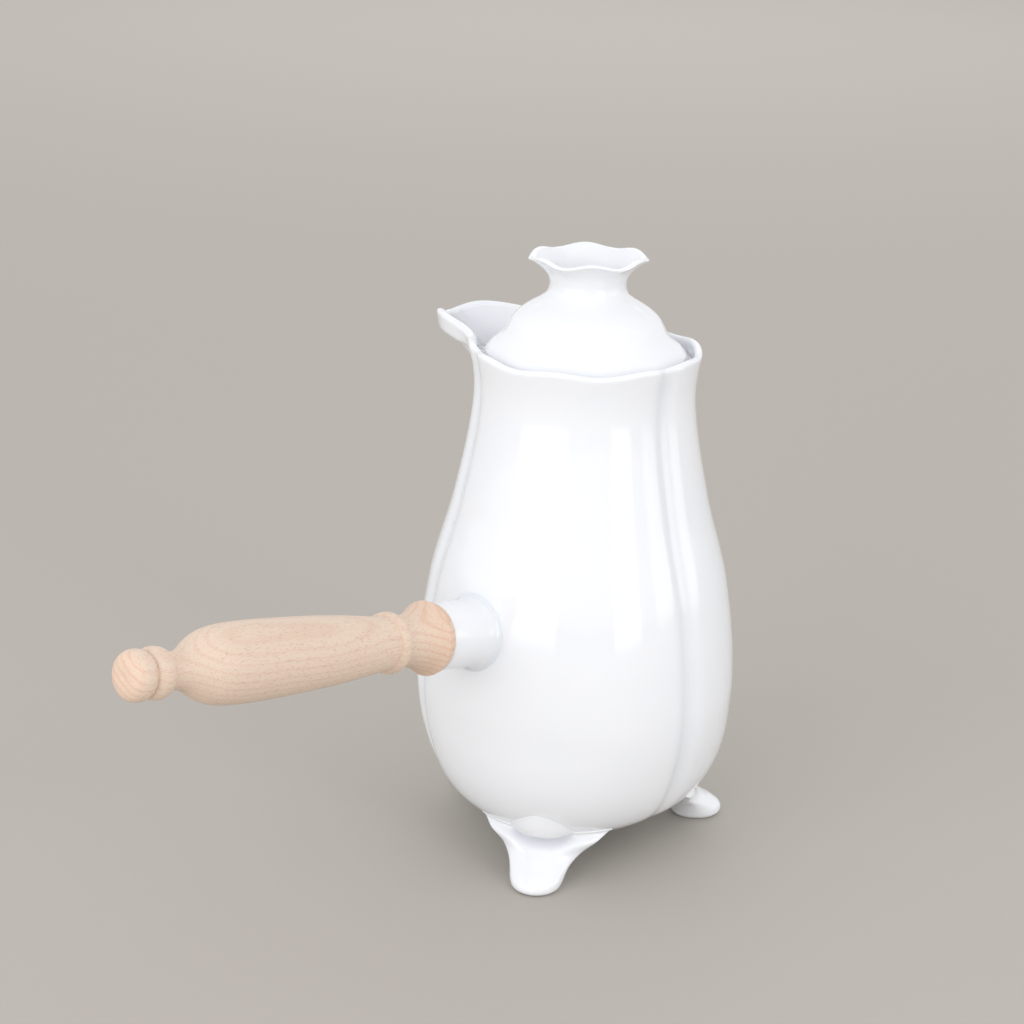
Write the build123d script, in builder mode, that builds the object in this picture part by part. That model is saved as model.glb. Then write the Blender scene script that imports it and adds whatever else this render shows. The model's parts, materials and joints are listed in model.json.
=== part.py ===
from build123d import *
import os
from math import atan2, cos, degrees, exp, hypot, pi, radians, sin, sqrt

# A white porcelain chocolate pot on three feet, with a poured-lip spout, a loose lid
# and a turned beech side handle. Millimetres and degrees. The origin is on the pot's
# axis at table level, +Z is up, the spout points along +X.

os.makedirs("parts", exist_ok=True)

# ---- pot body: outer skin, from the table up ---------------------------------
base_height = 9.5         # underside of the body above the table
base_radius = 29.0
heel_rise = 14.5          # up to where the body turns up from its underside
heel_radius = 49.7
flank_rise = 22.0         # each rise is measured from the level before it
flank_radius = 60.0
belly_rise = 23.0         # to the widest level
belly_radius = 63.8
waist_rise = 41.0
waist_radius = 59.3
shoulder_rise = 35.0
shoulder_radius = 50.0
neck_rise = 38.0          # to the narrowest level
neck_radius = 43.3
rim_rise = 20.6           # to the mean height of the rim
rim_radius = 45.4
rim_flare = 0.24          # outward lean of the skin at the rim, mm per mm
wall = 3.1                # porcelain wall
floor_thickness = 4.5

# ---- three lobes, parted by soft valleys -------------------------------------
lobe_count = 3
lobe_bulge = 0.6          # fall of the skin from a lobe's middle to its edge
valley_depth = 1.7
valley_width = 4.4        # half width of a valley along the skin
valley_fade = 26.0        # height above the underside over which valleys appear
valley_inside = 0.5       # share of a valley's depth that shows on the inner skin
rim_wave = 0.7            # the rim rises and falls gently
rim_waves = 8
lip_round = 1.0           # rounding of the mouth's outer edge
trim_seam_angle = 180.0   # the trim's own seam lies behind the spout

# ---- spout: the lobe at +X drawn out into a pouring lip ----------------------
spout_reach = 38.6        # from the neck's skin to the tip
spout_root_drop = 23.0    # the keel leaves the body this far below the neck
spout_full_drop = 5.1     # the keel reaches the tip this far below the rim
spout_growth = 1.85       # how the keel curves outwards
spout_taper = 26.0        # degrees over which the plan narrows to the tip
spout_half_angle = 22.5   # degrees to the spout's shoulders
spout_shoulder = 4.2      # how sharply the shoulders turn into the rim
spout_nose_angle = 1.4    # rounding at the tip
spout_rise = 3.1          # the spout's edges stand above the rim
spout_span_angle = 30.0
tip_drop = 4.7            # the tip lies below the spout's edges
tip_span_angle = 5.5
spout_floor = 3.4         # upright thickness under the channel
channel_angle = 2.0       # over which the channel widens from its rounded end

# ---- seat for the lid inside the mouth ---------------------------------------
seat_drop = 4.0           # below the mean height of the rim
seat_width = 9.8          # from the rim's outer edge in to the seat's opening
seat_thickness = 2.4      # at its inner edge
seat_slope = 3.0          # its underside thickens towards the wall
seat_gap_angle = 30.0     # either side of the spout, where the seat is left open

# ---- feet --------------------------------------------------------------------
foot_centre = 55.0        # radius of the middle of a foot's pad
foot_pad = 8.0            # radius of the flat that rests on the table
toe_radius = 10.2
toe_height = 3.4
toe_length = 10.5
ankle_height = 11.5       # the toe and the ankle are measured from the table
ankle_width = 10.6        # half width across the leg
ankle_front = 57.4
ankle_back = 40.0
apron_drop = 4.0          # the leg spreads into an apron just below the heel
apron_width = 17.5
apron_front = 53.6
apron_back = 36.0
crest_lift = 4.0          # the apron's top lies this far above the heel
crest_width = 23.0
crest_sink = 0.6          # the apron's top dies into the body's skin
bead_lift = 1.2           # almond bead over each foot, from the heel up
bead_length = 12.5        # half length
bead_width = 4.0          # half height
bead_proud = 1.5

# ---- handle socket -----------------------------------------------------------
handle_angle = 93.2       # from the spout round to the handle
handle_lift = 22.0        # the handle's axis meets the pot's axis this far over the belly
handle_tilt = 10.2        # the handle rises outwards
socket_stand = 20.7       # from the body's skin to the socket's mouth
socket_radius = 12.7
socket_base_radius = 15.3
socket_flare = 16.0       # length of the flare at the body
socket_bore = 9.1
socket_depth = 17.0

# ---- handle ------------------------------------------------------------------
bedding = 0.7             # thickness of the cement round the tenon
tenon_play = 1.0          # room at the tenon's end
collar_face = 12.9        # radius of the end that meets the socket
collar_radius = 13.9
collar_chamfer = 1.9
collar_length = 15.0      # each length runs from the end of the one before it
collar_foot_radius = 9.6
ring_length = 11.0        # a bead that ends in a shallow groove
ring_radius = 10.9
groove_radius = 10.05
swell_length = 29.0       # the grip swells towards the hand
swell_radius = 12.85
swell_slope = 0.14        # how fast the grip widens at the groove
grip_length = 37.0
grip_radius = 14.2
crown_length = 15.0       # the grip's rounded end
crown_radius = 13.3
throat_length = 10.5
throat_radius = 8.2
stem_length = 6.0
stem_radius = 6.5
stem_end_length = 3.7
notch_radius = 7.2
band_length = 7.6
band_radius = 8.9
knob_notch_radius = 7.9
knob_length = 8.6
knob_radius = 8.7
knob_shoulder = 1.8       # the knob's rounded edge starts this far before its end
knob_edge_radius = 8.1
knob_flat = 5.6           # radius of the flat end

# ---- lid ---------------------------------------------------------------------
mouth_play = 3.3          # between the lid's edge and the mouth's inner skin
lid_edge = 2.2            # height of the lid's rounded edge
seat_play = 0.1           # the lid stands this much clear of its seat
lid_wall = 3.0
lid_brim_rise = 7.8       # the brim sweeps up into the dome, from the lid's base
lid_brim_inset = 6.1      # in from the lid's edge
lid_dome_rise = 7.5       # each rise is measured from the level before it
lid_dome_inset = 10.8
lid_fall_rise = 6.5
lid_fall_width = 4.9      # out from the waist of the finial
lid_waist_rise = 6.0
lid_waist_radius = 14.7
flare_rise = 11.4         # to the mean height of the finial's wavy edge
flare_spread = 8.5        # out from the waist
flare_lean = 1.1          # outward lean of the finial at its edge, mm per mm
flare_waves = 6
flare_wave = 0.9          # the edge rises and falls by this
flare_turn_angle = 18.0   # a crest's angle from the spout
flare_wall = 2.2          # at the waist
flare_lip = 1.7           # at the wavy edge
flare_round = 0.5
cup_drop = 1.5            # the finial's hollow ends this far below its waist
cup_web = 4.0             # thickness there, round the stirrer hole
collar_play = 0.6         # between the lid's collar and the seat's bore
collar_drop = 7.5         # how far the collar hangs below the seat
collar_wall = 2.8
stirrer_bore = 7.5        # radius of the hole for a stirring stick

# ---- levels and radii that follow from these ---------------------------------
heel_height = base_height + heel_rise
flank_height = heel_height + flank_rise
belly_height = flank_height + belly_rise
waist_height = belly_height + waist_rise
shoulder_height = waist_height + shoulder_rise
neck_height = shoulder_height + neck_rise
rim_height = neck_height + rim_rise
seat_height = rim_height - seat_drop
seat_bore = rim_radius - seat_width
spout_root = neck_height - spout_root_drop
spout_full = rim_height - spout_full_drop


def smooth_height_curve(points, height):
    """Value at a height on a smooth curve through (height, value) points."""
    heights = [point[0] for point in points]
    values = [point[1] for point in points]
    last = len(points) - 1
    slopes = []
    for i in range(len(points)):
        low = max(i - 1, 0)
        high = min(i + 1, last)
        slopes.append((values[high] - values[low]) / (heights[high] - heights[low]))
    slopes[last] = rim_flare
    i = 0
    while i < last - 1 and height > heights[i + 1]:
        i += 1
    span = heights[i + 1] - heights[i]
    u = (height - heights[i]) / span
    return (values[i] * (1 + 2 * u) * (1 - u) ** 2 + slopes[i] * span * u * (1 - u) ** 2
            + values[i + 1] * u * u * (3 - 2 * u) + slopes[i + 1] * span * u * u * (u - 1))


skin_points = [
    (base_height, base_radius),
    (heel_height, heel_radius),
    (flank_height, flank_radius),
    (belly_height, belly_radius),
    (waist_height, waist_radius),
    (shoulder_height, shoulder_radius),
    (neck_height, neck_radius),
    (rim_height, rim_radius),
]


def skin_radius(height):
    """Radius of the body's outer skin at the middle of a lobe."""
    if height > rim_height:
        return rim_radius + rim_flare * (height - rim_height)
    return smooth_height_curve(skin_points, height)


def from_lobe(angle):
    """Angle from the middle of the nearest lobe, between -60 and 60 degrees."""
    pitch = 360 / lobe_count
    return (angle + pitch / 2) % pitch - pitch / 2


def from_spout(angle):
    return abs((angle + 180) % 360 - 180)


def spout_plan(angle):
    """Share of the spout's reach at an angle from its middle: 1 at the tip, 0 at the rim."""
    return exp(-angle / spout_taper) / (1 + (angle / spout_half_angle) ** spout_shoulder)


def spout_share(height):
    """Share of the spout's reach at a height: the keel's curve."""
    rise = (height - spout_root) / (spout_full - spout_root)
    return min(max(rise, 0.0), 1.0) ** spout_growth


def lip_level(angle):
    """Height of the rim, and of the spout's edges, round the mouth."""
    turn = from_spout(angle)
    on_spout = exp(-((turn / spout_span_angle) ** 4))
    wave = rim_wave * cos(radians(rim_waves * from_lobe(angle)))
    tip = tip_drop * exp(-((turn / tip_span_angle) ** 2))
    return rim_height + wave * (1 - on_spout) + spout_rise * on_spout - tip


def skin_point(angle, height, inset=0.0):
    """Point of the body's skin, or of the inner skin that lies an inset inside it."""
    radius = skin_radius(height)
    pitch = 360 / lobe_count
    offset = from_lobe(angle)
    to_valley = radians(pitch / 2 - abs(offset)) * radius
    depth = valley_depth * min(1.0, (height - base_height) / valley_fade)
    if inset:
        depth = depth * valley_inside
    dip = depth * exp(-((to_valley / valley_width) ** 2))
    bulge = lobe_bulge * (1 - cos(radians(lobe_count * offset))) / 2
    turn = from_spout(angle)
    eased = sqrt(turn ** 2 + spout_nose_angle ** 2) - spout_nose_angle
    narrowed = degrees(inset / (radius + spout_reach)) * eased / (eased + channel_angle)
    floor = spout_floor if inset else 0.0
    beak = spout_reach * spout_share(height - floor) * spout_plan(eased + narrowed)
    r = radius - inset - dip - bulge + beak
    return (r * cos(radians(angle)), r * sin(radians(angle)))


# angles of an outline's points: close together in the valleys and round the spout
plain_angles = [-60, -56.5, -53, -46, -30, -10, 10, 30, 46, 53, 56.5]
spout_angles = [-60, -56.5, -53, -46, -34, -24, -15, -8, -3, 0, 3, 8, 15, 24, 34, 46, 53, 56.5]
outline_angles = (spout_angles + [120 + angle for angle in plain_angles]
                  + [240 + angle for angle in plain_angles])

top = rim_height + spout_rise + 3.0      # the lofts run past the rim and are trimmed
level_steps = 28
level_crowding = 0.5                     # levels lie closer at the bottom and at the lip


def loft_levels(bottom):
    levels = []
    for step in range(level_steps + 1):
        share = step / level_steps
        share -= level_crowding * sin(2 * pi * share) / (2 * pi)
        levels.append(bottom + (top - bottom) * share)
    return levels


def skin_outline(height, inset=0.0):
    """Closed curve of the skin at a height, with its parameter running with the angle."""
    points = [skin_point(angle, height, inset) for angle in outline_angles]
    return Edge.make_spline(
        points, periodic=True, parameters=outline_angles + [outline_angles[0] + 360]
    )


def level_inset(height):
    """Level inset that leaves the wall's thickness square to the leaning skin."""
    step = 0.5
    lean = (skin_radius(height + step) - skin_radius(height - step)) / (2 * step)
    return wall * sqrt(1 + lean ** 2)


# the body's outer skin as a full solid
with BuildPart() as body_form:
    for level in loft_levels(base_height):
        with BuildSketch(Plane.XY.offset(level)):
            with BuildLine():
                add(skin_outline(level))
            make_face()
    loft()


def upright_plane(angle):
    """Upright plane through the pot's axis: local x points out at the angle, local y up."""
    turn = radians(angle)
    return Plane(
        origin=(0, 0, 0),
        x_dir=(cos(turn), sin(turn), 0),
        z_dir=(sin(turn), -cos(turn), 0),
    )


# the pot's inside, with the seat for the lid left standing in its mouth
with BuildPart() as cavity:
    for level in loft_levels(base_height + floor_thickness):
        with BuildSketch(Plane.XY.offset(level)):
            with BuildLine():
                add(skin_outline(level, level_inset(level)))
            make_face()
    loft()
    with BuildSketch(upright_plane(seat_gap_angle)):
        with BuildLine():
            Polyline(
                (seat_bore, seat_height),
                (rim_radius + spout_reach, seat_height),
                (rim_radius + spout_reach, seat_height - seat_thickness - seat_slope),
                (rim_radius - wall, seat_height - seat_thickness - seat_slope),
                (seat_bore, seat_height - seat_thickness),
                close=True,
            )
        make_face()
    revolve(axis=Axis.Z, revolution_arc=360 - 2 * seat_gap_angle, mode=Mode.SUBTRACT)


def wavy_face(inside, outside, level, seam):
    """Ring whose height at each angle is given by a function: what lies over it is cut off."""
    edges = []
    for radius in (inside, outside):
        points = []
        for step in range(wave_steps):
            turn = seam + 360 * step / wave_steps
            points.append(
                (radius * cos(radians(turn)), radius * sin(radians(turn)), level(turn))
            )
        edges.append(Edge.make_spline(points, periodic=True))
    return Face.make_surface_from_curves(edges[0], edges[1])


# the wavy level at which the mouth is trimmed, from inside the mouth to past the spout
wave_steps = 120
lip_face = wavy_face(seat_bore / 2, rim_radius + 2 * spout_reach, lip_level, trim_seam_angle)


def on_outer_lip(edge):
    """True for an edge of the mouth that lies on the outer skin."""
    middle = edge @ 0.5
    skin = skin_point(degrees(atan2(middle.Y, middle.X)), middle.Z)
    outside = hypot(middle.X, middle.Y) > hypot(*skin) - wall / 3
    return outside and middle.Z > seat_height + lip_round and edge.length > 2 * wall


with BuildPart() as pot_body:
    add(body_form.part)
    add(cavity.part, mode=Mode.SUBTRACT)
    extrude(to_extrude=lip_face, amount=2 * (top - seat_height), dir=(0, 0, 1),
            mode=Mode.SUBTRACT)
    fillet(pot_body.edges().filter_by(on_outer_lip), radius=lip_round)
pot_body.part.label = "pot_body"
export_step(pot_body.part, "parts/pot_body.step")


def foot_section(front, back, half_width):
    """Rounded outline of a foot at one level: two arcs that meet at its flanks."""
    flank = (front + back) / 2
    ThreePointArc((flank, -half_width), (front, 0), (flank, half_width))
    ThreePointArc((flank, half_width), (back, 0), (flank, -half_width))


def apron_section(front, back, half_width, level):
    """Outline of the foot's apron, whose flanks lie on the body's skin."""
    flank = sqrt(skin_radius(level) ** 2 - half_width ** 2) - crest_sink
    ThreePointArc((flank, -half_width), (front, 0), (flank, half_width))
    ThreePointArc((flank, half_width), (back, 0), (flank, -half_width))


apron_height = heel_height - apron_drop
crest_height = heel_height + crest_lift
bead_height = heel_height + bead_lift

# one foot at +X; each copy is turned to its lobe and cut to the body's skin there
with BuildPart() as foot_form:
    for level, front, back, half_width in (
        (0, foot_centre + foot_pad, foot_centre - foot_pad, foot_pad),
        (toe_height, foot_centre + toe_length, foot_centre - toe_length, toe_radius),
        (ankle_height, ankle_front, ankle_back, ankle_width),
    ):
        with BuildSketch(Plane.XY.offset(level)):
            with BuildLine():
                foot_section(front, back, half_width)
            make_face()
    with BuildSketch(Plane.XY.offset(apron_height)):
        with BuildLine():
            apron_section(apron_front, apron_back, apron_width, apron_height)
        make_face()
    with BuildSketch(Plane.XY.offset(crest_height)):
        with BuildLine():
            apron_section(skin_radius(crest_height) - crest_sink, apron_back, crest_width,
                          crest_height)
        make_face()
    loft()

    # almond bead that lies on the skin over the foot
    bead_lean = (skin_radius(bead_height + 1) - skin_radius(bead_height - 1)) / 2
    bead_sunk = (bead_width - bead_proud) / sqrt(1 + bead_lean ** 2)
    bead_centre = Vector(
        skin_radius(bead_height) - bead_sunk, 0, bead_height + bead_sunk * bead_lean
    )
    with BuildSketch(Plane(origin=bead_centre, x_dir=(0, 1, 0), z_dir=(0, 0, 1))):
        with BuildLine():
            EllipticalCenterArc((0, 0), bead_length, bead_width, 0, arc_size=180)
            Line((-bead_length, 0), (bead_length, 0))
        make_face()
    revolve(axis=Axis(bead_centre, (0, 1, 0)))

foot_names = ("foot_under_spout", "foot_under_handle", "foot_opposite_handle")
for index, foot_name in enumerate(foot_names):
    with BuildPart() as foot:
        add(foot_form.part.rotate(Axis.Z, 360 * index / lobe_count))
        add(body_form.part, mode=Mode.SUBTRACT)
    foot.part.label = foot_name
    export_step(foot.part, f"parts/{foot_name}.step")

# ---- handle line -------------------------------------------------------------
handle_height = belly_height + handle_lift
socket_reach = skin_radius(handle_height) + socket_stand
handle_turn = radians(handle_angle)
handle_slope = radians(handle_tilt)
handle_direction = Vector(
    cos(handle_slope) * cos(handle_turn),
    cos(handle_slope) * sin(handle_turn),
    sin(handle_slope),
)
handle_across = Vector(sin(handle_turn), -cos(handle_turn), 0)
handle_axis = Axis((0, 0, handle_height), handle_direction)
handle_plane = Plane(
    origin=(0, 0, handle_height), x_dir=handle_direction, z_dir=handle_across
)
mouth_plane = Plane(
    origin=handle_plane.from_local_coords((socket_reach, 0, 0)),
    x_dir=handle_direction,
    z_dir=handle_across,
)

# porcelain socket, seated on the body's skin
socket_start = skin_radius(handle_height) - wall
with BuildPart() as handle_socket:
    with BuildSketch(handle_plane):
        with BuildLine():
            Polyline(
                (socket_start, 0),
                (socket_start, socket_base_radius),
                (belly_radius, socket_base_radius),
            )
            flare_end = socket_start + socket_flare
            Spline(
                (belly_radius, socket_base_radius),
                (flare_end, socket_radius),
                tangents=((1, -0.45), (1, 0)),
            )
            Line((flare_end, socket_radius), (socket_reach, socket_radius))
            Line((socket_reach, socket_radius), (socket_reach, 0))
            Line((socket_reach, 0), (socket_start, 0))
        make_face()
    revolve(axis=handle_axis)
    with BuildSketch(mouth_plane):
        with BuildLine():
            Polyline((0, 0), (0, socket_bore), (-socket_depth, socket_bore),
                     (-socket_depth, 0), close=True)
        make_face()
    revolve(axis=handle_axis, mode=Mode.SUBTRACT)
    add(body_form.part, mode=Mode.SUBTRACT)
handle_socket.part.label = "handle_socket"
export_step(handle_socket.part, "parts/handle_socket.step")

# cup of cement between the socket's bore and the tenon
tenon_radius = socket_bore - bedding
tenon_length = socket_depth - tenon_play
with BuildPart() as handle_cement:
    with BuildSketch(mouth_plane):
        with BuildLine():
            Polyline(
                (-socket_depth, 0),
                (-socket_depth, socket_bore),
                (-bedding, socket_bore),
                (-bedding, tenon_radius),
                (-tenon_length, tenon_radius),
                (-tenon_length, 0),
                close=True,
            )
        make_face()
    revolve(axis=handle_axis)
handle_cement.part.label = "handle_cement"
export_step(handle_cement.part, "parts/handle_cement.step")

# turned handle: tenon, coved collar, ring, long grip, stem, band and knob
collar_end = (collar_length, collar_foot_radius)
ring_middle = (collar_length + ring_length / 2, ring_radius)
groove = (collar_length + ring_length, groove_radius)
swell = (groove[0] + swell_length, swell_radius)
grip = (swell[0] + grip_length, grip_radius)
crown_end = (grip[0] + crown_length, crown_radius)
throat = (crown_end[0] + throat_length, throat_radius)
stem = (throat[0] + stem_length, stem_radius)
notch = (stem[0] + stem_end_length, notch_radius)
band = (notch[0] + band_length / 2, band_radius)
knob_notch = (notch[0] + band_length, knob_notch_radius)
handle_length = knob_notch[0] + knob_length
knob_middle = (knob_notch[0] + (knob_length - knob_shoulder) / 2, knob_radius)
knob_edge = (handle_length - knob_shoulder, knob_edge_radius)
with BuildPart() as handle:
    with BuildSketch(mouth_plane):
        with BuildLine():
            Polyline(
                (-tenon_length, 0),
                (-tenon_length, tenon_radius),
                (0, tenon_radius),
                (0, collar_face),
                (collar_chamfer, collar_radius),
            )
            TangentArc((collar_chamfer, collar_radius), collar_end, tangent=(1, 0))
            ThreePointArc(collar_end, ring_middle, groove)
            curve = TangentArc(groove, swell, tangent=(1, swell_slope))
            for point in (grip, crown_end, throat, stem):
                curve = TangentArc(curve @ 1, point, tangent=curve % 1)
            Line(stem, notch)
            ThreePointArc(notch, band, knob_notch)
            curve = ThreePointArc(knob_notch, knob_middle, knob_edge)
            TangentArc(knob_edge, (handle_length, knob_flat), tangent=curve % 1)
            Polyline((handle_length, knob_flat), (handle_length, 0), (-tenon_length, 0))
        make_face()
    revolve(axis=handle_axis)
handle.part.label = "handle"
export_step(handle.part, "parts/handle.step")

# ---- lid ---------------------------------------------------------------------
lid_base = seat_height + seat_play
lid_radius = rim_radius - wall - mouth_play
lid_collar_radius = seat_bore - collar_play
lid_brim_height = lid_base + lid_brim_rise
lid_dome_height = lid_brim_height + lid_dome_rise
lid_fall_height = lid_dome_height + lid_fall_rise
lid_waist_height = lid_fall_height + lid_waist_rise
flare_height = lid_waist_height + flare_rise
flare_radius = lid_waist_radius + flare_spread
cup_floor = lid_waist_height - cup_drop
flare_top = flare_height + 2 * flare_wave    # the finial is turned taller, then trimmed

lid_edge_top = (lid_radius - lid_edge / 4, lid_base + lid_edge)
lid_brim = (lid_radius - lid_brim_inset, lid_brim_height)
lid_dome = (lid_radius - lid_dome_inset, lid_dome_height)
lid_fall = (lid_waist_radius + lid_fall_width, lid_fall_height)
lid_waist = (lid_waist_radius, lid_waist_height)
flare_edge = (flare_radius, flare_height)


def inside_of(before, point, after):
    """Point of the lid's inner skin that lies its wall behind a point of the outer skin."""
    along = (after[0] - before[0], after[1] - before[1])
    length = hypot(along[0], along[1])
    return (point[0] - lid_wall * along[1] / length, point[1] + lid_wall * along[0] / length)


def flare_past(edge_radius):
    """Where a skin of the finial runs on to, over its mean edge, before it is trimmed."""
    return (edge_radius + flare_lean * (flare_top - flare_height), flare_top)


def flare_level(angle):
    return flare_height + flare_wave * cos(radians(flare_waves * (angle - flare_turn_angle)))


crown = cup_floor - cup_web
lip_inner_radius = flare_radius - flare_lip * hypot(1, flare_lean)
lid_plane = upright_plane(0)
with BuildPart() as lid:
    with BuildSketch(lid_plane):
        with BuildLine():
            Polyline(
                (0, lid_base - collar_drop),
                (lid_collar_radius, lid_base - collar_drop),
                (lid_collar_radius, lid_base),
                (lid_radius - lid_edge / 2, lid_base),
            )
            ThreePointArc((lid_radius - lid_edge / 2, lid_base),
                          (lid_radius, lid_base + lid_edge / 2), lid_edge_top)
            Spline(lid_edge_top, lid_brim, lid_dome, lid_fall, lid_waist, flare_edge,
                   flare_past(flare_radius), tangents=((-1, 0.7), (flare_lean, 1)))
            Polyline(flare_past(flare_radius), (0, flare_top), (0, lid_base - collar_drop))
        make_face()
    revolve(axis=Axis.Z)

    # hollow under the dome, open through the collar
    with BuildSketch(lid_plane):
        with BuildLine():
            hollow_side = lid_collar_radius - collar_wall
            Polyline((0, crown), (0, lid_base - collar_drop),
                     (hollow_side, lid_base - collar_drop), (hollow_side, lid_base))
            Spline(
                (hollow_side, lid_base),
                inside_of(lid_edge_top, lid_brim, lid_dome),
                inside_of(lid_brim, lid_dome, lid_fall),
                inside_of(lid_dome, lid_fall, lid_waist),
                (0, crown),
                tangents=((0, 1), (-1, 0)),
            )
        make_face()
    revolve(axis=Axis.Z, mode=Mode.SUBTRACT)

    # hollow of the finial
    with BuildSketch(lid_plane):
        with BuildLine():
            Spline(
                (0, cup_floor),
                (lid_waist_radius - flare_wall, lid_waist_height + flare_wall),
                (lip_inner_radius, flare_height),
                flare_past(lip_inner_radius),
                tangents=((1, 0), (flare_lean, 1)),
            )
            Polyline(flare_past(lip_inner_radius), (0, flare_top), (0, cup_floor))
        make_face()
    revolve(axis=Axis.Z, mode=Mode.SUBTRACT)
    extrude(to_extrude=wavy_face(lid_waist_radius / 2, 2 * flare_radius, flare_level, 0),
            amount=4 * flare_wave, dir=(0, 0, 1), mode=Mode.SUBTRACT)
    wavy_edge = lid.faces().sort_by(Axis.Z)[-1]
    fillet(wavy_edge.edges().filter_by(lambda edge: edge.length > flare_radius),
           radius=flare_round)
    with Locations((0, 0, cup_floor)):
        Hole(radius=stirrer_bore)
lid.part.label = "lid"
export_step(lid.part, "parts/lid.step")
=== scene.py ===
"""Looks of a white porcelain chocolate pot with a turned beech side handle.

Every piece is built by its own operator from the settings of its property group, round
the packed parts. Lengths are in metres in the row frame: the origin is on the pot's axis
at table level, +Z is up and the spout points along +X.
"""

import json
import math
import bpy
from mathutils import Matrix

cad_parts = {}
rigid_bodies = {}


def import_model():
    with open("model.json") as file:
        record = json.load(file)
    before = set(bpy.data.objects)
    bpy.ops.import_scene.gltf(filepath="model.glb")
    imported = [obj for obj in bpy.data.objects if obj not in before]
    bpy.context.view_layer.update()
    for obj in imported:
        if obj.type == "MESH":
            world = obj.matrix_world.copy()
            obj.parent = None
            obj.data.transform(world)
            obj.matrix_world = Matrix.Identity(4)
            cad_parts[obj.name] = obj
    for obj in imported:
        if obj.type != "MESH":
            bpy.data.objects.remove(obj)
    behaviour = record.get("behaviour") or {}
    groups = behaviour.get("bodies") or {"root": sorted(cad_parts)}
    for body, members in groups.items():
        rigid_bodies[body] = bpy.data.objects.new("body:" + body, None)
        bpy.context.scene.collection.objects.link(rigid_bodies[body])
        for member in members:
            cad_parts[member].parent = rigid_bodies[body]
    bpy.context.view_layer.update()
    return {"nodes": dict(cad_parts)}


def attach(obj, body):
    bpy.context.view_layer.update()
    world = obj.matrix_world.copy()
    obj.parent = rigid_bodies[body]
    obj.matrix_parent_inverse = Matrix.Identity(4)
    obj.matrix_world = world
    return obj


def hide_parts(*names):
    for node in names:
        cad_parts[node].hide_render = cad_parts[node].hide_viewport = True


bl_info = {
    "name": "Chocolate pot",
    "version": (1, 0, 0),
    "blender": (4, 5, 0),
    "location": "3D View > Sidebar > Chocolate pot",
    "description": "Builds a footed porcelain chocolate pot with a wooden side handle",
    "category": "Object",
}

import bpy
import numpy as np
from bpy.props import FloatProperty, FloatVectorProperty, IntProperty, PointerProperty
from mathutils import Matrix, Vector

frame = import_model()

MM = 0.001


def length(name, description, millimetres):
    """A length setting, given in millimetres and kept in metres."""
    return FloatProperty(
        name=name, description=description, default=millimetres * MM, unit="LENGTH",
        precision=5,
    )


def turn(name, description, degrees):
    """An angle setting, given in degrees."""
    return FloatProperty(
        name=name, description=description, default=math.radians(degrees), subtype="ANGLE"
    )


def amount(name, description, value):
    """A plain number."""
    return FloatProperty(name=name, description=description, default=value)


def count(name, description, value):
    """A whole number from 1 up."""
    return IntProperty(name=name, description=description, default=value, min=1)


def colour(code):
    """Linear colour from an sRGB hex code."""
    values = [int(code[i:i + 2], 16) / 255 for i in (0, 2, 4)]
    return tuple(
        v / 12.92 if v <= 0.04045 else ((v + 0.055) / 1.055) ** 2.4 for v in values
    ) + (1.0,)


def tint(name, description, code):
    """A colour setting, given as an sRGB hex code."""
    return FloatVectorProperty(
        name=name, description=description, default=colour(code)[:3], subtype="COLOR",
        min=0, max=1,
    )


# ---- settings


class BodySettings(bpy.types.PropertyGroup):
    """Skin, lobes, lip and lid seat of the pot's body"""

    base_height: length("Base height", "Underside of the body above the table", 9.5)
    base_round: length("Base rounding", "Rounding between underside and skin", 2.0)
    rim_height: length("Rim height", "Mean height of the rim", 203.6)
    rim_flare: amount("Rim flare", "Outward lean of the skin at the rim", 0.24)
    wall: length("Wall", "Thickness of the porcelain wall", 3.1)
    floor_thickness: length("Floor", "Thickness of the bottom", 4.5)
    cove: length("Cove", "Rounding between the inner wall and the floor", 2.5)
    lip_round: length("Lip rounding", "Height of the rounded edge of the mouth", 1.5)
    lobe_count: count("Lobes", "Lobes of the body, one over each foot", 3)
    lobe_bulge: length("Lobe bulge", "Fall of the skin from a lobe's middle", 0.6)
    low_full: length("Low fullness", "The lobes swell by this low on the belly", 3.0)
    low_share: amount("Low share", "Share of that fullness left in the folds", 0.3)
    valley_depth: length("Valley depth", "Depth of the folds between the lobes", 1.7)
    valley_width: length("Valley width", "Half width of a fold along the skin", 4.4)
    valley_fade: length("Valley fade", "Height over which the folds appear", 26.0)
    valley_inside: amount("Fold inside", "Share of a fold's depth seen inside", 0.5)
    rim_wave: length("Rim wave", "The rim rises and falls by this", 0.7)
    rim_waves: count("Rim waves", "Waves of the rim in one turn", 8)
    seat_height: length("Seat height", "Level that the lid rests on", 199.6)
    seat_bore: length("Seat bore", "Radius of the opening inside the seat", 35.6)
    seat_thickness: length("Seat thickness", "Thickness at its inner edge", 2.4)
    seat_slope: length("Seat slope", "Thickening towards the wall", 3.0)
    seat_gap: turn("Seat gap", "The seat is left open this far beside the spout", 30.0)
    seat_taper: turn("Seat taper", "Angle over which the seat's ends die away", 9.0)
    columns: count("Columns", "Faces round the body", 400)
    rows: count("Rows", "Faces up the outside", 96)


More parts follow.
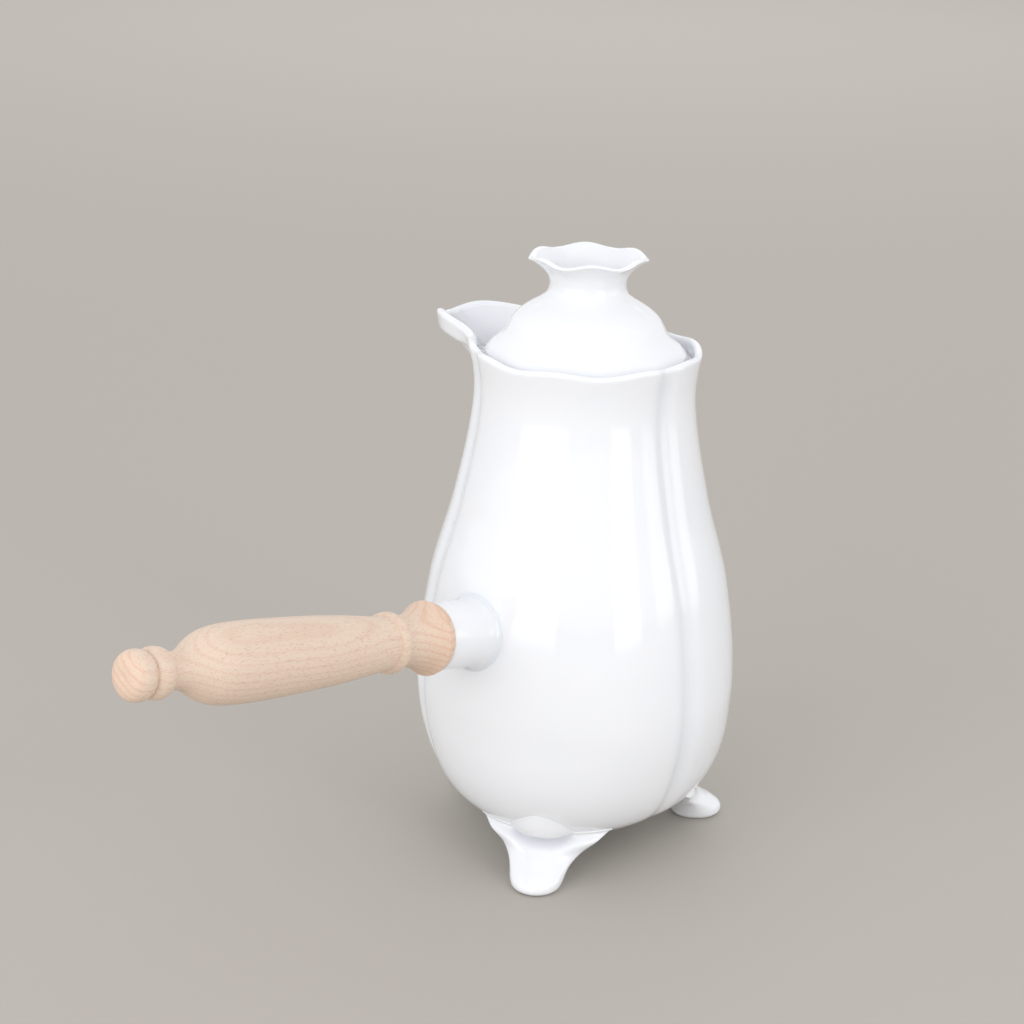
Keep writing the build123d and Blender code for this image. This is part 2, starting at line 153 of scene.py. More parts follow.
class SpoutSettings(bpy.types.PropertyGroup):
    """The lobe that is drawn out into a pouring lip"""

    reach: length("Reach", "From the neck's skin to the tip", 38.6)
    root: length("Root", "Height where the keel leaves the neck", 160.0)
    full: length("Full", "Height where the keel reaches the tip", 198.5)
    growth: amount("Growth", "How the keel curves outwards", 1.85)
    taper: turn("Taper", "Angle over which the plan narrows to the tip", 26.0)
    pinch: amount("Pinch", "How much narrower the spout gets below its edges", 1.1)
    half_angle: turn("Half angle", "Angle to the spout's shoulders", 22.5)
    shoulder: amount("Shoulder", "How sharply the shoulders turn into the rim", 4.2)
    nose: turn("Nose", "Rounding at the tip", 1.4)
    rise: length("Rise", "The spout's edges stand above the rim", 3.1)
    span: turn("Span", "Half angle of the raised edges", 30.0)
    tip_drop: length("Tip drop", "The tip lies below the spout's edges", 4.7)
    tip_span: turn("Tip span", "Half angle of the lowered tip", 5.5)
    floor: length("Floor", "Upright thickness under the channel", 3.4)
    channel: turn("Channel", "Angle over which the channel widens from its end", 2.0)


class FootSettings(bpy.types.PropertyGroup):
    """One foot, repeated under each lobe"""

    centre: length("Centre", "Radius of the middle of the foot's pad", 55.0)
    turned: turn("Turned", "Each foot is set this far round from its lobe", 2.1)
    crest: length("Crest", "Height of the apron's wings on the skin", 21.0)
    dip: length("Dip", "The apron's border dips by this under the bead", 3.0)
    dip_width: length("Dip width", "Half width of that dip", 11.0)
    proud: length("Proud", "The apron's border stands off the skin by this", 1.0)
    border: length("Border", "Height by which the border rolls over", 0.9)
    roll: length("Roll", "Rounding of the apron's sides", 1.6)
    bead_height: length("Bead height", "Height of the almond bead", 12.2)
    bead_length: length("Bead length", "Half length of the bead", 13.4)
    bead_proud: length("Bead proud", "The bead stands off the skin by this", 3.7)
    columns: count("Columns", "Faces round the foot", 96)
    rows: count("Rows", "Faces up the foot", 72)


class HandleSettings(bpy.types.PropertyGroup):
    """Porcelain socket and turned wooden handle"""

    angle: turn("Angle", "From the spout round to the handle", 93.2)
    height: length("Height", "Where the handle's axis meets the pot's axis", 91.0)
    tilt: turn("Tilt", "The handle rises outwards", 10.2)
    socket_stand: length("Socket stand", "From the skin to the socket's mouth", 20.7)
    socket_radius: length("Socket radius", "Outer radius at the mouth", 12.7)
    socket_foot: length("Socket foot", "Radius where the socket meets the skin", 15.0)
    socket_bore: length("Socket bore", "Radius of the hole for the tenon", 9.1)
    socket_depth: length("Socket depth", "Depth of that hole", 17.0)
    tenon_radius: length("Tenon radius", "Radius of the handle's tenon", 8.4)
    tenon_length: length("Tenon length", "Length of the handle's tenon", 16.0)
    centre_mark: length("Centre mark", "Radius of the lathe's mark in the knob", 1.0)
    corner: length("Corner", "Sanded rounding of the turned corners", 0.22)
    columns: count("Columns", "Faces round the handle", 112)


class LidSettings(bpy.types.PropertyGroup):
    """Loose lid with a flared, six-waved open finial"""

    base: length("Base", "Underside of the lid's edge", 199.7)
    collar_radius: length("Collar radius", "Outer radius of the collar", 35.0)
    collar_wall: length("Collar wall", "Thickness of the collar", 2.8)
    collar_drop: length("Collar drop", "The collar hangs below the seat by this", 7.5)
    wall: length("Wall", "Thickness of the lid", 3.0)
    flare_height: length("Flare height", "Mean height of the wavy edge", 238.35)
    flare_radius: length("Flare radius", "Mean radius of the wavy edge", 22.8)
    flare_waves: count("Waves", "Waves of the finial's edge", 6)
    flare_wave: length("Wave", "The edge rises and falls by this", 0.85)
    flare_corner: length("Corner", "The low corners stand out by this", 0.75)
    flare_turn: turn("Turn", "A crest's angle from the spout", 18.3)
    lip: length("Lip", "Thickness of the wavy edge", 1.7)
    cup_floor: length("Cup floor", "Bottom of the finial's hollow", 226.0)
    cup_web: length("Cup web", "Thickness there", 4.0)
    bore: length("Bore", "Radius of the hole for a stirring stick", 7.5)
    columns: count("Columns", "Faces round the lid", 288)


class StageSettings(bpy.types.PropertyGroup):
    """Floor, soft lights and camera"""

    floor_size: length("Floor size", "Side of the floor", 9000.0)
    window_power: amount("Window", "Power of the large window light, in watts", 7.6)
    strip_power: amount("Strip", "Power of the narrow window light, in watts", 3.3)
    wash_power: amount("Wash", "Power of the light on the far floor, in watts", 11.0)
    fill_power: amount("Fill", "Power of the low light at the right, in watts", 2.0)
    sky: amount("Sky", "Brightness of the even light from all sides", 0.95)
    lens: FloatProperty(
        name="Lens", description="Focal length of the camera in millimetres",
        default=77.71,
    )


class ColourSettings(bpy.types.PropertyGroup):
    """Main colours of the porcelain, the wood and the floor"""

    glaze: tint("Glaze", "Colour of the glazed porcelain", "EEEFF2")
    wood: tint("Wood", "Lighter colour of the raw beech", "E6D2C1")
    floor: tint("Floor", "Colour of the floor", "B5B0A9")


SETTINGS = {
    "pot_body": BodySettings,
    "pot_spout": SpoutSettings,
    "pot_foot": FootSettings,
    "pot_handle": HandleSettings,
    "pot_lid": LidSettings,
    "pot_stage": StageSettings,
    "pot_colour": ColourSettings,
}


# ---- meshes


def grid_faces(rows, columns, close_rows=False):
    """Faces of a grid whose columns run right round."""
    row = np.arange(rows if close_rows else rows - 1)[:, None]
    column = np.arange(columns)[None, :]
    above = (row + 1) % rows
    beside = (column + 1) % columns
    quads = np.stack(
        [row * columns + column, row * columns + beside, above * columns + beside,
         above * columns + column], axis=-1,
    )
    return [tuple(quad) for quad in quads.reshape(-1, 4).tolist()]


def fan(ring, centre):
    """Triangles from a closed ring of points to one point."""
    return [(ring[i], ring[(i + 1) % len(ring)], centre) for i in range(len(ring))]


def even_angles(total):
    """Angles that share out a full turn evenly."""
    return np.arange(total) / total * 2 * math.pi


def outward(points, faces):
    """The faces with their normals pointing outwards."""
    corners = np.array([face[:3] for face in faces])
    a, b, c = (points[corners[:, i]] - points.mean(axis=0) for i in range(3))
    if np.einsum("ij,ij->i", a, np.cross(b, c)).sum() < 0:
        return [face[::-1] for face in faces]
    return faces


def closed_skin(rows, start, end):
    """Points and faces of rings of points, closed by a fan to one point at each end."""
    total, columns = rows.shape[:2]
    points = np.vstack([rows.reshape(-1, 3), [start], [end]])
    first = list(range(columns))
    last = [(total - 1) * columns + i for i in first]
    faces = grid_faces(total, columns)
    faces += fan(first[::-1], len(points) - 2) + fan(last, len(points) - 1)
    return points, outward(points, faces)


def make_object(name, points, faces, attributes=None):
    """A smooth-shaded object at the origin from points and faces."""
    mesh = bpy.data.meshes.new(name)
    mesh.from_pydata(points.tolist(), [], faces)
    mesh.polygons.foreach_set("use_smooth", [True] * len(mesh.polygons))
    for key, values in (attributes or {}).items():
        kind = "FLOAT" if values.ndim == 1 else "FLOAT_VECTOR"
        layer = mesh.attributes.new(key, kind, "POINT")
        layer.data.foreach_set(
            "value" if kind == "FLOAT" else "vector", values.astype(np.float32).ravel()
        )
    mesh.update()
    made = bpy.data.objects.new(name, mesh)
    bpy.context.scene.collection.objects.link(made)
    return made


def set_material(made, name):
    """The object takes the named material alone."""
    made.data.materials.clear()
    made.data.materials.append(shared_material(name))


def finish_piece(made, body, nodes, slot):
    """The piece rides on a body, stands for its parts and takes its slot's material."""
    set_material(made, slot)
    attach(made, body)
    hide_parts(*nodes)


def smooth_step(low, high, value):
    """Soft step from 0 at low to 1 at high."""
    share = np.clip((value - low) / (high - low), 0, 1)
    return share * share * (3 - 2 * share)


def bezier(controls, u):
    """Point at share u of the Bezier curve through its control points."""
    points = list(controls)
    while len(points) > 1:
        points = [a * (1 - u) + b * u for a, b in zip(points, points[1:])]
    return points[0]


def quarter(steps):
    """Sine and one minus cosine at each step of a quarter turn, from 0 on."""
    turned = np.linspace(0, math.pi / 2, steps + 1)
    return list(zip(np.sin(turned), 1 - np.cos(turned)))


def cubic(start, end, slope, end_slope, u):
    """Cubic from start to end with the given slopes there, at share u."""
    return (
        start * (1 + 2 * u) * (1 - u) ** 2 + slope * u * (1 - u) ** 2
        + end * u * u * (3 - 2 * u) + end_slope * u * u * (u - 1)
    )


def hermite(points, samples):
    """Points on a smooth curve through the given ones, so many in each span."""
    points = np.array(points, float)
    chords = np.linalg.norm(np.diff(points, axis=0), axis=1)
    spans = np.diff(points, axis=0) / chords[:, None]
    slopes = np.empty_like(points)
    slopes[1:-1] = (
        spans[:-1] * chords[1:, None] + spans[1:] * chords[:-1, None]
    ) / (chords[:-1] + chords[1:])[:, None]
    slopes[0] = 1.5 * spans[0] - 0.5 * slopes[1]
    slopes[-1] = 1.5 * spans[-1] - 0.5 * slopes[-2]
    u = np.arange(samples)[:, None] / samples
    found = [
        cubic(points[i], points[i + 1], slopes[i] * chord, slopes[i + 1] * chord, u)
        for i, chord in enumerate(chords)
    ]
    return np.vstack(found + [points[-1:]])


def soften(curves, corner, steps=4):
    """Joins curves end to end, with each corner between them rounded off."""
    line = curves[0]
    for following in curves[1:]:
        point = line[-1]
        before = line[np.linalg.norm(line - point, axis=1) > corner]
        after = following[np.linalg.norm(following - point, axis=1) > corner]
        start, end = (
            point + (near - point) * corner / np.linalg.norm(near - point)
            for near in (before[-1], after[0])
        )
        arc = bezier((start, point, end), np.linspace(0, 1, steps + 1)[:, None])
        line = np.vstack([before, arc, after])
    return line


# ---- the skin of the body

# outer skin at the middle of a lobe: height and radius
SKIN = np.array(
    [(9.5, 29.0), (24.0, 49.7), (46.0, 60.0), (69.0, 63.76), (110.0, 59.3), (145.0, 50.0),
     (183.0, 43.3), (203.6, 45.4)]
) * MM


def skin_radius(height, body):
    """Radius of the outer skin at the middle of a lobe."""
    levels, radii = SKIN[:, 0], SKIN[:, 1]
    last = len(SKIN) - 1
    low = np.maximum(np.arange(len(SKIN)) - 1, 0)
    high = np.minimum(np.arange(len(SKIN)) + 1, last)
    slopes = (radii[high] - radii[low]) / (levels[high] - levels[low])
    slopes[last] = body.rim_flare
    i = np.clip(np.searchsorted(levels, height) - 1, 0, last - 1)
    span = levels[i + 1] - levels[i]
    u = (height - levels[i]) / span
    inside = cubic(radii[i], radii[i + 1], slopes[i] * span, slopes[i + 1] * span, u)
    above = radii[last] + body.rim_flare * (height - levels[last])
    return np.where(height > levels[last], above, inside)


def from_lobe(angle, body):
    """Signed angle from the middle of the nearest lobe."""
    pitch = 2 * math.pi / body.lobe_count
    return (angle + pitch / 2) % pitch - pitch / 2


def from_spout(angle):
    """Angle from the spout, on either side."""
    return np.abs((angle + math.pi) % (2 * math.pi) - math.pi)


def lip_level(angle, body, spout):
    """Height of the rim and of the spout's edges."""
    off = from_spout(angle)
    on_spout = np.exp(-((off / spout.span) ** 4))
    wave = body.rim_wave * np.cos(body.rim_waves * from_lobe(angle, body))
    tip = spout.tip_drop * np.exp(-((off / spout.tip_span) ** 2))
    return body.rim_height + wave * (1 - on_spout) + spout.rise * on_spout - tip


def valley(angle, height, body):
    """How far a point lies down one of the folds, from 0 to 1."""
    pitch = 2 * math.pi / body.lobe_count
    across = (pitch / 2 - np.abs(from_lobe(angle, body))) * skin_radius(height, body)
    shown = np.clip((height - body.base_height) / body.valley_fade, 0, 1)
    return shown * np.exp(-((across / body.valley_width) ** 2))


# the low fullness: its share at the underside, the height where it is whole and those
# between which it dies away; and how soon the spout narrows below its edges
SWELL_AT_BASE, SWELL_WHOLE, SWELL_FADES = 0.6, 20 * MM, (38 * MM, 64 * MM)
PINCH_GROWTH = 8


def low_swell(angle, height, body):
    """Fullness of the lobes low on the belly, where they lean out over the feet."""
    fade = 1 - smooth_step(*SWELL_FADES, height)
    grown = smooth_step(body.base_height, SWELL_WHOLE, height)
    start = SWELL_AT_BASE + (1 - SWELL_AT_BASE) * grown
    lobe = (1 + np.cos(body.lobe_count * from_lobe(angle, body))) / 2
    return body.low_full * fade * start * (body.low_share + (1 - body.low_share) * lobe)


def skin_reach(angle, height, body, spout, inset=0.0, inner=False):
    """Distance of the skin from the pot's axis, or of the inner skin."""
    radius = skin_radius(height, body) + low_swell(angle, height, body)
    dip = body.valley_depth * valley(angle, height, body)
    offset = from_lobe(angle, body)
    bulge = body.lobe_bulge * (1 - np.cos(body.lobe_count * offset)) / 2
    off = from_spout(angle)
    eased = np.sqrt(off ** 2 + spout.nose ** 2) - spout.nose
    narrowed = inset / (radius + spout.reach) * eased / (eased + spout.channel)
    level = height - (spout.floor if inner else 0.0)
    rise = np.clip((level - spout.root) / (spout.full - spout.root), 0, 1)
    pinched = 1 - np.exp(-PINCH_GROWTH * (1 - rise))
    plan = (eased + narrowed) * (1 + spout.pinch * pinched)
    share = np.exp(-plan / spout.taper) / (1 + (plan / spout.half_angle) ** spout.shoulder)
    beak = spout.reach * rise ** spout.growth * share
    return radius - inset - dip * (body.valley_inside if inner else 1.0) - bulge + beak


def level_inset(height, body):
    """Level inset that leaves the wall's thickness square to the leaning skin."""
    step = 0.5 * MM
    change = skin_radius(height + step, body) - skin_radius(height - step, body)
    return body.wall * np.sqrt(1 + (change / (2 * step)) ** 2)


# extra columns at the spout and in the folds, the angles over which they spread, and the
# samples of a full turn that the columns are set from
AT_SPOUT, SPOUT_SPREAD, AT_FOLD, FOLD_SPREAD = 3.5, math.radians(13), 1.6, math.radians(9)
FINE = 7201


def round_angles(total, body):
    """Angles round the body, closer together at the spout and in the folds."""
    fine = np.linspace(-math.pi, math.pi, FINE)
    to_fold = math.pi / body.lobe_count - np.abs(from_lobe(fine, body))
    density = (
        1 + AT_SPOUT * np.exp(-((from_spout(fine) / SPOUT_SPREAD) ** 2))
        + AT_FOLD * np.exp(-((to_fold / FOLD_SPREAD) ** 2))
    )
    run = np.concatenate([[0], np.cumsum((density[1:] + density[:-1]) / 2)])
    return np.interp(np.arange(total) / total * run[-1], run, fine)


def polar(angle, reach, height):
    """Points from angles, distances from the axis and heights."""
    angle, reach, height = np.broadcast_arrays(angle, reach, height)
    return np.stack([reach * np.cos(angle), reach * np.sin(angle), height], axis=-1)


# rings of the flat underside, faces over the lip, how the outer rows crowd towards the lip
# and the inner ones towards the floor, rings of the inner cove and its share of the floor
UNDERSIDE, LIP_STEPS, OUTER_GRADING, INNER_GRADING = (0.15, 0.45, 0.75, 1), 10, 0.45, 0.9
COVE_STEPS, COVE_REACH = (0.3, 0.6, 0.85, 1.0), 0.12


def body_rows(body, spout):
    """Rows of points from the middle of the underside over the lip to the inner floor."""
    angle = round_angles(body.columns, body)
    lip = lip_level(angle, body, spout) - body.lip_round
    edge = SKIN[0, 1]
    flat = edge - body.base_round
    rows = [polar(angle, flat * share, body.base_height) for share in UNDERSIDE]
    start = body.base_height + body.base_round
    end = skin_reach(angle, np.full_like(angle, start), body, spout)
    for u in (0.25, 0.5, 0.75):
        height = body.base_height + body.base_round * u * u
        rows.append(polar(angle, bezier((flat, edge, end), u), height))
    for share in np.linspace(0, 1, body.rows + 1):
        graded = share + OUTER_GRADING * math.sin(math.pi * share) * share / math.pi
        height = start + (lip - start) * graded
        rows.append(polar(angle, skin_reach(angle, height, body, spout), height))
    outer = rows[-1]
    inner = polar(
        angle, skin_reach(angle, lip, body, spout, level_inset(lip, body), True), lip
    )
    middle, half = (outer + inner) / 2, (outer - inner) / 2
    for phase in np.linspace(0, math.pi, LIP_STEPS + 1)[1:]:
        up = np.array([0, 0, body.lip_round * math.sin(phase)])
        rows.append(middle + half * math.cos(phase) + up)
    bottom = body.base_height + body.floor_thickness
    for share in np.linspace(0, 1, body.rows // 2 + 1)[1:]:
        height = lip + (bottom + body.cove - lip) * share ** INNER_GRADING
        inset = level_inset(height, body)
        rows.append(
            polar(angle, skin_reach(angle, height, body, spout, inset, True), height)
        )
    edge = np.hypot(rows[-1][:, 0], rows[-1][:, 1])
    for u in COVE_STEPS:
        reach = edge * (1 - COVE_REACH * u * u)
        rows.append(polar(angle, reach, bottom + body.cove * (1 - u) ** 2))
    for share in (0.6, 0.3, 0.1):
        rows.append(polar(angle, edge * share, bottom))
    return np.array(rows)


# the lid's seat: columns, how far it is let into the wall, share of its width left at its
# ends, rounding of its inner edges, and the angle that its taper starts with
SEAT_COLUMNS, SEAT_SUNK, SEAT_LEAST, SEAT_EDGE = 221, 1.3 * MM, 0.12, 0.5 * MM
SEAT_START = 0.0002


def seat_ring(body, spout):
    """Ledge for the lid, let into the wall and open towards the spout."""
    angle = np.linspace(body.seat_gap, 2 * math.pi - body.seat_gap, SEAT_COLUMNS)
    end = np.minimum(angle - angle[0], angle[-1] - angle)
    grown = np.sqrt(smooth_step(0, body.seat_taper, end + SEAT_START))
    level = np.full_like(angle, body.seat_height)
    wall = skin_reach(angle, level, body, spout, level_inset(level, body), True)
    outer = wall + SEAT_SUNK
    bore = outer - (outer - body.seat_bore) * (SEAT_LEAST + (1 - SEAT_LEAST) * grown)
    edge, cut = SEAT_EDGE, 0.15 * SEAT_EDGE
    high = body.seat_height
    low = high - body.seat_thickness
    deep = low - body.seat_slope
    section = [
        (outer, high), (bore + edge, high), (bore + cut, high - cut), (bore, high - edge),
        (bore, low + edge), (bore + cut, low + cut), (bore + edge, low - 0.1 * edge),
        ((bore + outer) / 2, (low + deep) / 2), (outer, deep),
    ]
    rings = [polar(angle, reach, height) for reach, height in section]
    points = np.stack(rings, axis=1).reshape(-1, 3)
    columns = len(section)
    faces = grid_faces(len(angle), columns)
    faces.append(tuple(range(columns)))
    faces.append(tuple(range(len(points) - columns, len(points)))[::-1])
    return points, outward(points, faces)


def add_meshes(parts):
    """One set of points and faces from several."""
    points, faces, start = [], [], 0
    for part_points, part_faces in parts:
        points.append(part_points)
        faces += [tuple(i + start for i in face) for face in part_faces]
        start += len(part_points)
    return np.vstack(points), faces


# ---- materials


def chosen(name):
    """A colour from the settings."""
    return (*getattr(bpy.context.scene.pot_colour, name), 1.0)


def add_node(tree, kind, inputs=None, **settings):
    """Adds a node. An input that is a socket is linked, any other is set in place."""
    made = tree.nodes.new(kind)
    for key, value in settings.items():
        setattr(made, key, value)
    for key, value in (inputs or {}).items():
        if isinstance(value, bpy.types.NodeSocket):
            tree.links.new(value, made.inputs[key])
        else:
            made.inputs[key].default_value = value
    return made


def new_material(name):
    """An empty node material and its tree."""
    made = bpy.data.materials.new(name)
    made.use_nodes = True
    made.node_tree.nodes.clear()
    return made, made.node_tree


def noise(tree, place, scale, detail=2.0, roughness=0.5, distortion=0.0):
    """Value of a noise texture."""
    return add_node(
        tree, "ShaderNodeTexNoise",
        {"Vector": place, "Scale": scale, "Detail": detail, "Roughness": roughness,
         "Distortion": distortion},
    ).outputs["Fac"]


def remap(tree, value, low, high, to_low, to_high):
    """A value taken from one range to another and held inside it."""
    return add_node(
        tree, "ShaderNodeMapRange",
        {"Value": value, "From Min": low, "From Max": high, "To Min": to_low,
         "To Max": to_high},
    ).outputs["Result"]


def stretched(tree, place, scale, rotation=(0.0, 0.0, 0.0)):
    """Places turned and scaled along each axis."""
    return add_node(
        tree, "ShaderNodeMapping", {"Vector": place, "Scale": scale, "Rotation": rotation}
    ).outputs["Vector"]


def bump(tree, height, distance, **inputs):
    """Normal that a height over the surface gives."""
    return add_node(
        tree, "ShaderNodeBump",
        {"Height": height, "Strength": 1.0, "Distance": distance, **inputs},
    ).outputs["Normal"]


def attribute(tree, name, output="Fac"):
    """A mesh's own values."""
    return add_node(tree, "ShaderNodeAttribute", attribute_name=name).outputs[output]


def calculate(tree, operation, *values):
    """Result of a sum, product or the like of sockets and numbers."""
    return add_node(
        tree, "ShaderNodeMath", dict(enumerate(values)), operation=operation
    ).outputs[0]


def end_material(tree, inputs):
    """The surface's shader, with its values and links, and the material's output."""
    shader = add_node(tree, "ShaderNodeBsdfPrincipled", inputs)
    add_node(tree, "ShaderNodeOutputMaterial", {"Surface": shader.outputs["BSDF"]})


def blend_colours(tree, factor, first, second):
    """Mix of two colours; either may be a socket."""
    made = add_node(tree, "ShaderNodeMix", data_type="RGBA")
    for socket, value in ((made.inputs[0], factor), (made.inputs[6], first),
                          (made.inputs[7], second)):
        if isinstance(value, bpy.types.NodeSocket):
            tree.links.new(value, socket)
        else:
            socket.default_value = value
    return made.outputs[2]


def porcelain_material():
    # White hard-paste porcelain, cast and dipped in clear glaze: cool white with
    # mirror-like highlights that waver a little, and a bluer, darker colour in the folds
    # and round the socket's foot: the bluer tint is pooled glaze, the darkening is painted
    # shade.
    made, tree = new_material("Glazed white porcelain")
    place = add_node(tree, "ShaderNodeTexCoord").outputs["Object"]
    drift = noise(tree, place, 28.0)
    tone = blend_colours(tree, drift, chosen("glaze"), colour("E9ECF1"))
    # bluer and darker in the folds and round the socket's foot: pooled glaze, with painted
    # shade
    tint = blend_colours(tree, attribute(tree, "pool"), tone, colour("DDE3EA"))
    slow = bump(tree, noise(tree, place, 42.0, detail=1.0, roughness=0.4), 0.22 * MM)
    normal = bump(tree, noise(tree, place, 520.0), 0.006 * MM, Normal=slow)
    gloss = remap(tree, drift, 0.3, 0.7, 0.07, 0.12)
    end_material(tree, {
        "Base Color": tint, "Roughness": gloss, "Normal": normal, "IOR": 1.52,
        "Subsurface Weight": 0.16, "Subsurface Radius": (1.0, 0.9, 0.8),
        "Subsurface Scale": 1.6 * MM,
    })
    return made


def cement_material():
    # Set bedding cement, trowelled and left matt: a dull, slightly sandy off-white.
    made, tree = new_material("Bedding cement")
    place = add_node(tree, "ShaderNodeTexCoord").outputs["Object"]
    grain = noise(tree, place, 2400.0, detail=3.0)
    tint = blend_colours(tree, grain, colour("BDB6AB"), colour("D2CCC2"))
    normal = bump(tree, grain, 0.05 * MM)
    end_material(tree, {"Base Color": tint, "Normal": normal, "Roughness": 0.85})
    return made


def beech_material():
    # Steamed beech, turned and sanded but not varnished: pale pinkish tan with faint growth
    # lines that show more on the end grain, and the short brown dashes of its rays, dull
    # with a soft sheen. Its "lathe" places run along the handle first.
    made, tree = new_material("Raw turned beech")
    lathe = attribute(tree, "lathe", "Vector")
    stain = attribute(tree, "end_grain")
    bands = noise(tree, stretched(tree, lathe, (9.0, 210.0, 90.0)), 1.0, detail=3.0,
                  roughness=0.55, distortion=0.6)
    fibre = noise(tree, stretched(tree, lathe, (160.0, 2600.0, 2600.0)), 1.0, roughness=0.6)
    dash = noise(tree, stretched(tree, lathe, (560.0, 3400.0, 3400.0)), 1.0, detail=0.0)
    years = add_node(
        tree, "ShaderNodeTexWave",
        {"Vector": stretched(tree, lathe, (0.35, 1.0, 1.0), (0.5, 0.0, 0.09)),
         "Scale": 125.0, "Distortion": 4.6, "Detail": 2.0, "Detail Scale": 0.55,
         "Detail Roughness": 0.5},
        bands_direction="Z", wave_profile="SIN",
    ).outputs["Fac"]
    late = remap(tree, years, 0.6, 1.0, 0.0, 0.18)
    shown = calculate(tree, "MULTIPLY_ADD", stain, 4.6, 1.0)
    year_lines = calculate(tree, "MULTIPLY", late, shown)
    pale = blend_colours(tree, bands, colour("D9C2AE"), chosen("wood"))
    pored = blend_colours(tree, fibre, pale, colour("DDC8B5"))
    ringed = blend_colours(tree, year_lines, pored, colour("D0A084"))
    pink = blend_colours(tree, stain, ringed, colour("DDBBA5"))
    dashes = remap(tree, dash, 0.62, 0.74, 0.0, 0.36)
    end_material(tree, {
        "Base Color": blend_colours(tree, dashes, pink, colour("A98563")),
        "Roughness": remap(tree, fibre, 0.3, 0.7, 0.46, 0.6),
        "Normal": bump(tree, fibre, 0.04 * MM), "IOR": 1.45,
    })
    return made


def floor_material():
    # Matt paper sweep: a plain warm grey with no gloss.
    made, tree = new_material("Paper floor")
    end_material(tree, {
        "Base Color": chosen("floor"), "Roughness": 0.9, "Specular IOR Level": 0.2,
    })
    return made


MAKERS = {"porcelain": porcelain_material, "cement": cement_material,
          "beech": beech_material, "paper": floor_material}


def shared_material(name):
    """The material that a maker gives, made once."""
    scene = bpy.context.scene
    found = scene.get(name, "")
    if found not in bpy.data.materials:
        found = scene[name] = MAKERS[name]().name
    return bpy.data.materials[found]


# ---- operators


# how far the folds and the socket's foot take the bluer tint of pooled glaze and the
# darkening of painted shade, from 0 to 1
FOLD_GLAZE_AND_SHADE, FOOT_GLAZE_AND_SHADE = 0.35, 0.5


class POT_OT_body(bpy.types.Operator):
    """Build the porcelain body with its lobes, spout, rounded lip and lid seat"""

    bl_idname = "pot.body"
    bl_label = "Body"

    def execute(self, context):
        body = context.scene.pot_body
        spout = context.scene.pot_spout
        floor = body.base_height + body.floor_thickness
        skin = closed_skin(
            body_rows(body, spout), (0, 0, body.base_height), (0, 0, floor)
        )
        points, faces = add_meshes([skin, seat_ring(body, spout)])
        turned = np.arctan2(points[:, 1], points[:, 0])
        # painted shade, with the tint of pooled glaze, deepest down the folds
        pool = FOLD_GLAZE_AND_SHADE * valley(turned, points[:, 2], body)
        made = make_object("porcelain_body", points, faces, {"pool": pool})
        finish_piece(made, "pot", ["pot_body"], "porcelain")
        return {"FINISHED"}


def skin_plane(across, height, body, spout):
    """How far out the skin lies in front of a lobe's middle plane."""
    height = np.maximum(height, body.base_height + 0.1 * MM)
    x = np.full(np.broadcast(across, height).shape, 48 * MM)    # a guess to start from
    for _ in range(4):
        reach = skin_reach(np.arctan2(across, x), height, body, spout)
        x = np.sqrt(np.maximum(reach ** 2 - across ** 2, 0))
    return x


def crest_level(across, foot):
    """Height of the apron's upper border on the skin: it dips under the bead."""
    return foot.crest - foot.dip * np.exp(-((across / foot.dip_width) ** 4))


# one foot in its own plane: level, front, widest line, back and half width
FOOT = [(0.0, 63.2, 56.5, 47.0, 7.4), (0.6, 65.1, 56.5, 45.6, 8.7),
        (1.8, 66.1, 56.1, 44.9, 9.8), (3.6, 65.9, 55.0, 44.5, 10.5),
        (6.0, 63.4, 52.9, 43.6, 11.2), (8.5, 59.4, 50.7, 42.3, 12.3),
        (10.5, 57.1, 49.0, 41.0, 13.9), (12.5, 55.5, 47.7, 39.8, 16.0),
        (14.5, 54.1, 46.9, 38.6, 18.5), (16.5, 52.8, 46.4, 38.0, 20.9),
        (18.5, 51.5, 45.8, 37.5, 23.2), (20.0, 50.5, 44.9, 37.0, 25.0),
        (21.0, 50.0, 44.0, 37.0, 26.4)]


# heights on the foot: the leg becomes the apron's sheet, the apron stays outside the
# skin, it starts to close on it, and the border's dip is felt
SPREAD, APRON, LAYS_FROM, DIPS_FROM = (7 * MM, 14 * MM), 15 * MM, 14.5 * MM, 9 * MM
# how late it closes, how the sheet bends back, how its sides round off, and the share of
# that rounding lost at the border
LAYS, SHEET_BEND, SIDE_ROUND, ROLL_LOST = 2.5, 2.4, 6, 0.7
# the border: shares of its proudness at the sides and behind, least share of its roll,
# the roll's depth in shares of its height, and how deep it ends under the skin
SIDE_PROUD, BACK_PROUD, LEAST_BORDER = 0.6, 0.4, 0.15
BORDER_DEPTH, BORDER_SUNK = 1.2, 2.6 * MM


